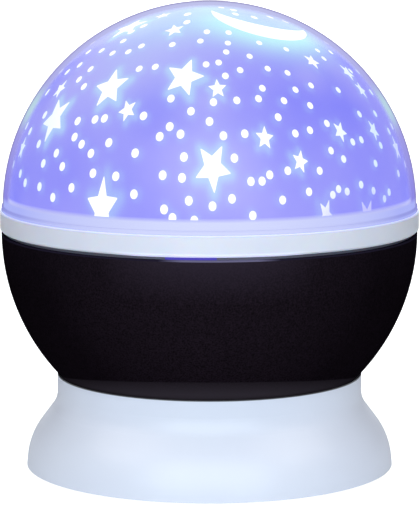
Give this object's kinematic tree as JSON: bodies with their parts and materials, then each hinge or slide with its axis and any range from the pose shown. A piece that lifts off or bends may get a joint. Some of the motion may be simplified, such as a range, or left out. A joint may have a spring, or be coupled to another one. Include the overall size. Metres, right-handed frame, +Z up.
{
  "type": "star night light projector",
  "caption": "Ball night light with a clear dome over a printed star film, a black bowl and a white ring, turning by motor on a flared white base.",
  "frame": {"origin": "on the table, under the middle of the base", "axes": "+Z up along the axis that the ball turns on; +Y towards the buttons at the rear; +X towards the motor, so the USB socket opens towards -X"},
  "size_m": [0.13, 0.13, 0.1454],
  "materials": {
    "white_abs": "satin, moulded white plastic of the skirt, plate and door",
    "button_abs": "satin, moulded light grey-white caps",
    "black_abs": "gloss, moulded black plastic",
    "ring_milk": "gloss, milky translucent ring that passes the light",
    "dome_clear": "clear injection-moulded plastic",
    "film_print": "printed film, lit from behind in violet-blue",
    "reflector_white": "white reflector plate",
    "inner_white": "white LED post and its board",
    "screw_steel": "zinc-plated steel",
    "contact_steel": "nickel-plated spring steel and strip",
    "foot_rubber": "dark grey rubber",
    "cell_wrap": null,
    "board_fr4": "green solder mask",
    "board_part": "moulded chip, capacitor and plug housings",
    "switch_body": "black switch bodies and plungers",
    "gear_pom": "natural acetal gears and washer",
    "motor_steel": "motor can and shaft",
    "gearbox_abs": "grey-white gearbox housing",
    "led_lens": "epoxy LED lenses",
    "lead_pvc": "bundle of insulated leads"
  },
  "bodies": {
    "base": {"base_shell": "white_abs", "base_plate": "white_abs", "base_screws": "screw_steel", "rubber_feet": "foot_rubber", "battery_1": "cell_wrap", "battery_2": "cell_wrap", "battery_3": "cell_wrap", "battery_4": "cell_wrap", "contact_plates": "contact_steel", "contact_springs": "contact_steel", "main_board": "board_fr4", "board_parts": "board_part", "board_screws": "screw_steel", "usb_socket": "contact_steel", "button_board": "board_fr4", "tact_switches": "switch_body", "motor_can": "motor_steel", "gearbox": "gearbox_abs", "motor_screws": "screw_steel", "thrust_washer": "gear_pom", "led_post": "inner_white", "post_screws": "screw_steel", "led_board": "inner_white", "led_white": "led_lens", "led_red": "led_lens", "led_green": "led_lens", "led_blue": "led_lens", "led_leads": "lead_pvc"},
    "ball": {"bowl": "black_abs", "drive_gear": "gear_pom", "gear_screws": "screw_steel", "equator_ring": "ring_milk", "reflector_plate": "reflector_white", "reflector_screws": "screw_steel"},
    "pinion": {"drive_pinion": "gear_pom", "motor_shaft": "motor_steel"},
    "dome": {"dome_cover": "dome_clear"},
    "film": {"star_film": "film_print"},
    "power_key": {"power_button": "button_abs", "power_plunger": "switch_body"},
    "light_key": {"light_button": "button_abs", "light_plunger": "switch_body"},
    "colour_key": {"colour_button": "button_abs", "colour_plunger": "switch_body"},
    "turn_key": {"turn_button": "button_abs", "turn_plunger": "switch_body"},
    "door": {"battery_door": "white_abs", "door_screw": "screw_steel"}
  },
  "joints": [
    {"name": "ball_spin", "type": "hinge", "parent": "base", "child": "ball", "pos_m": [0, 0, 0.028], "axis": [0, 0, 1], "continuous": true},
    {"name": "pinion_spin", "type": "hinge", "parent": "base", "child": "pinion", "pos_m": [0.03755, 0, 0.024], "axis": [0, 0, 1], "continuous": true},
    {"name": "dome_lift", "type": "slide", "parent": "ball", "child": "dome", "axis": [0, 0, 1], "range_m": [0, 0.09]},
    {"name": "film_lift", "type": "slide", "parent": "ball", "child": "film", "axis": [0, 0, 1], "range_m": [0, 0.02]},
    {"name": "power_press", "type": "slide", "parent": "base", "child": "power_key", "axis": [0, -1, 0], "range_m": [0, 0.0005], "stiffness_N_per_m": 1000},
    {"name": "light_press", "type": "slide", "parent": "base", "child": "light_key", "axis": [0, -1, 0], "range_m": [0, 0.0005], "stiffness_N_per_m": 1000},
    {"name": "colour_press", "type": "slide", "parent": "base", "child": "colour_key", "axis": [0, -1, 0], "range_m": [0, 0.0005], "stiffness_N_per_m": 1000},
    {"name": "turn_press", "type": "slide", "parent": "base", "child": "turn_key", "axis": [0, -1, 0], "range_m": [0, 0.0005], "stiffness_N_per_m": 1000},
    {"name": "door_drop", "type": "slide", "parent": "base", "child": "door", "axis": [0, 0, -1], "range_m": [0, 0.025]}
  ],
  "couplings": [
    {"joint": "pinion_spin", "follows": "ball_spin", "ratio": -5.25},
    {"joint": "film_lift", "follows": "dome_lift", "ratio": 0.22222}
  ]
}
